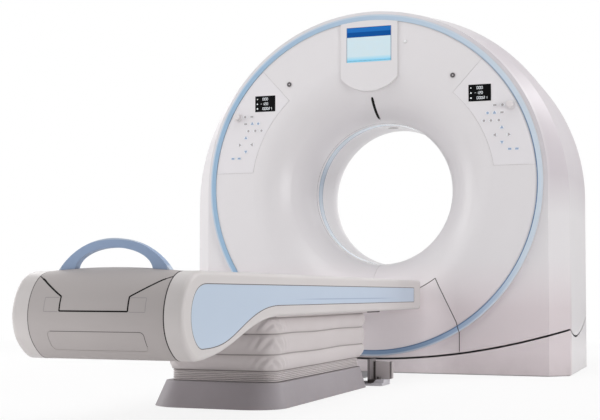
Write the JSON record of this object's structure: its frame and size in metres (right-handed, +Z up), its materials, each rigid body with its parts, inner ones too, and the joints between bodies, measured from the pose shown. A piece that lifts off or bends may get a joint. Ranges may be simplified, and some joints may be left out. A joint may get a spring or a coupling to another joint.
{
  "type": "ct scanner",
  "caption": "Computed tomography scanner: tilting ring gantry with a funnel bore on a floor plinth, and a lifting patient couch that feeds its cradle through the bore.",
  "frame": {"origin": "on the floor, straight below the isocentre (the crossing of the bore axis and the tilt axis)", "axes": "+Z up, +Y along the bore away from the couch, +X to the right seen from the couch end"},
  "size_m": [2.034, 4.119, 1.9718],
  "materials": {
    "cover_white": "satin moulded cover, warm white",
    "window_dark": "dark laser window",
    "window_grey": "thin blue-grey window film",
    "ring_blue": "light blue trim",
    "bezel_grey": "cool grey moulding",
    "screen_glass": "display face",
    "console_grey": "printed membrane panel",
    "key_plastic": "membrane keys",
    "estop_yellow": "yellow collar",
    "estop_red": "red mushroom button",
    "lock_steel": "quarter-turn cover lock",
    "lamp_green": "indicator lens",
    "frame_steel": "grey painted steel",
    "bearing_steel": "ground steel",
    "motor_black": "black finned motor casing",
    "machined_alloy": "machined aluminium",
    "belt_rubber": "toothed drive belt",
    "slip_brass": "slip ring tracks",
    "tube_steel": "tube housing",
    "box_alloy": "sheet casing",
    "pedestal_iron": "painted cast iron",
    "couch_shell": "satin couch shell",
    "inlay_blue": "pale blue inlay",
    "end_grey": "satin end shell",
    "clamp_dark": "dark clamp frame",
    "cradle_carbon": "foam-cored carbon-fibre board",
    "handle_blue": "blue hoop handle",
    "base_grey": "dark grey base cover",
    "bracket_steel": "bare steel outrigger",
    "bolt_steel": "anchor bolts",
    "column_alloy": "anodised column tube",
    "bellows_rubber": "pale coated bellows cloth"
  },
  "bodies": {
    "base": {"base_frame": "frame_steel", "tilt_pedestals": "pedestal_iron", "plinth_front": "cover_white", "plinth_sides": "cover_white", "plinth_rear": "cover_white", "floor_link": "frame_steel", "couch_base_plate": "frame_steel", "couch_base_cover": "base_grey", "anchor_brackets": "bracket_steel", "anchor_bolts": "bolt_steel", "lift_column_outer": "column_alloy", "bellows": "bellows_rubber"},
    "column_stage": {"lift_column_middle": "column_alloy"},
    "couch": {"couch_frame": "machined_alloy", "lift_column_inner": "column_alloy", "side_panel_left": "couch_shell", "side_panel_right": "couch_shell", "side_inlays": "inlay_blue", "end_cover": "end_grey", "under_cover": "couch_shell", "bellows_clamp": "clamp_dark", "front_cap": "couch_shell", "cradle_drive": "motor_black"},
    "cradle": {"cradle_board": "cradle_carbon", "tail_cap": "end_grey", "tail_handle": "handle_blue", "cradle_carriage": "box_alloy"},
    "gantry": {"front_cover": "cover_white", "laser_window": "window_dark", "lower_panel": "cover_white", "trim_ring": "ring_blue", "front_surround": "cover_white", "arch_cover": "cover_white", "rear_cover": "cover_white", "scan_window": "window_grey", "bore_liner": "cover_white", "ceiling_window": "window_grey", "display_bezel": "bezel_grey", "display_screen": "screen_glass", "control_panels": "console_grey", "status_displays": "screen_glass", "key_pads": "key_plastic", "estop_collars": "estop_yellow", "cover_locks": "lock_steel", "indicator_lamp": "lamp_green", "ring_frame": "frame_steel", "bearing_outer_race": "bearing_steel", "drive_motor": "motor_black", "drive_belt": "belt_rubber"},
    "rotor": {"rotor_drum": "machined_alloy", "bearing_inner_race": "bearing_steel", "slip_ring": "slip_brass", "xray_tube": "tube_steel", "tube_collimator": "tube_steel", "hv_generators": "box_alloy", "detector_arc": "box_alloy"},
    "pulley": {"motor_pulley": "machined_alloy"},
    "estop_button_left": {"estop_left": "estop_red"},
    "estop_button_right": {"estop_right": "estop_red"}
  },
  "joints": [
    {"name": "gantry_tilt", "type": "hinge", "parent": "base", "child": "gantry", "pos_m": [0, 0, 0.963], "axis": [1, 0, 0], "range_deg": [0, 30]},
    {"name": "couch_lift", "type": "slide", "parent": "base", "child": "couch", "axis": [0, 0, 1], "range_m": [0, 0.45], "deforming": ["bellows"]},
    {"name": "column_extend", "type": "slide", "parent": "base", "child": "column_stage", "axis": [0, 0, 1], "range_m": [0, 0.225]},
    {"name": "cradle_slide", "type": "slide", "parent": "couch", "child": "cradle", "axis": [0, 1, 0], "range_m": [0, 1.35]},
    {"name": "rotor_spin", "type": "hinge", "parent": "gantry", "child": "rotor", "pos_m": [0, 0.13, 0.963], "axis": [0, 1, 0], "continuous": true},
    {"name": "motor_spin", "type": "hinge", "parent": "gantry", "child": "pulley", "pos_m": [-0.79, 0.13, 0.323], "axis": [0, 1, 0], "continuous": true},
    {"name": "estop_left_press", "type": "slide", "parent": "gantry", "child": "estop_button_left", "axis": [0, 1, 0], "range_m": [0, 0.005], "stiffness_N_per_m": 900},
    {"name": "estop_right_press", "type": "slide", "parent": "gantry", "child": "estop_button_right", "axis": [0, 1, 0], "range_m": [0, 0.005], "stiffness_N_per_m": 900}
  ],
  "couplings": [
    {"joint": "column_extend", "follows": "couch_lift", "ratio": 0.5},
    {"joint": "cradle_slide", "follows": "couch_lift", "ratio": 3},
    {"joint": "motor_spin", "follows": "rotor_spin", "ratio": 14}
  ]
}
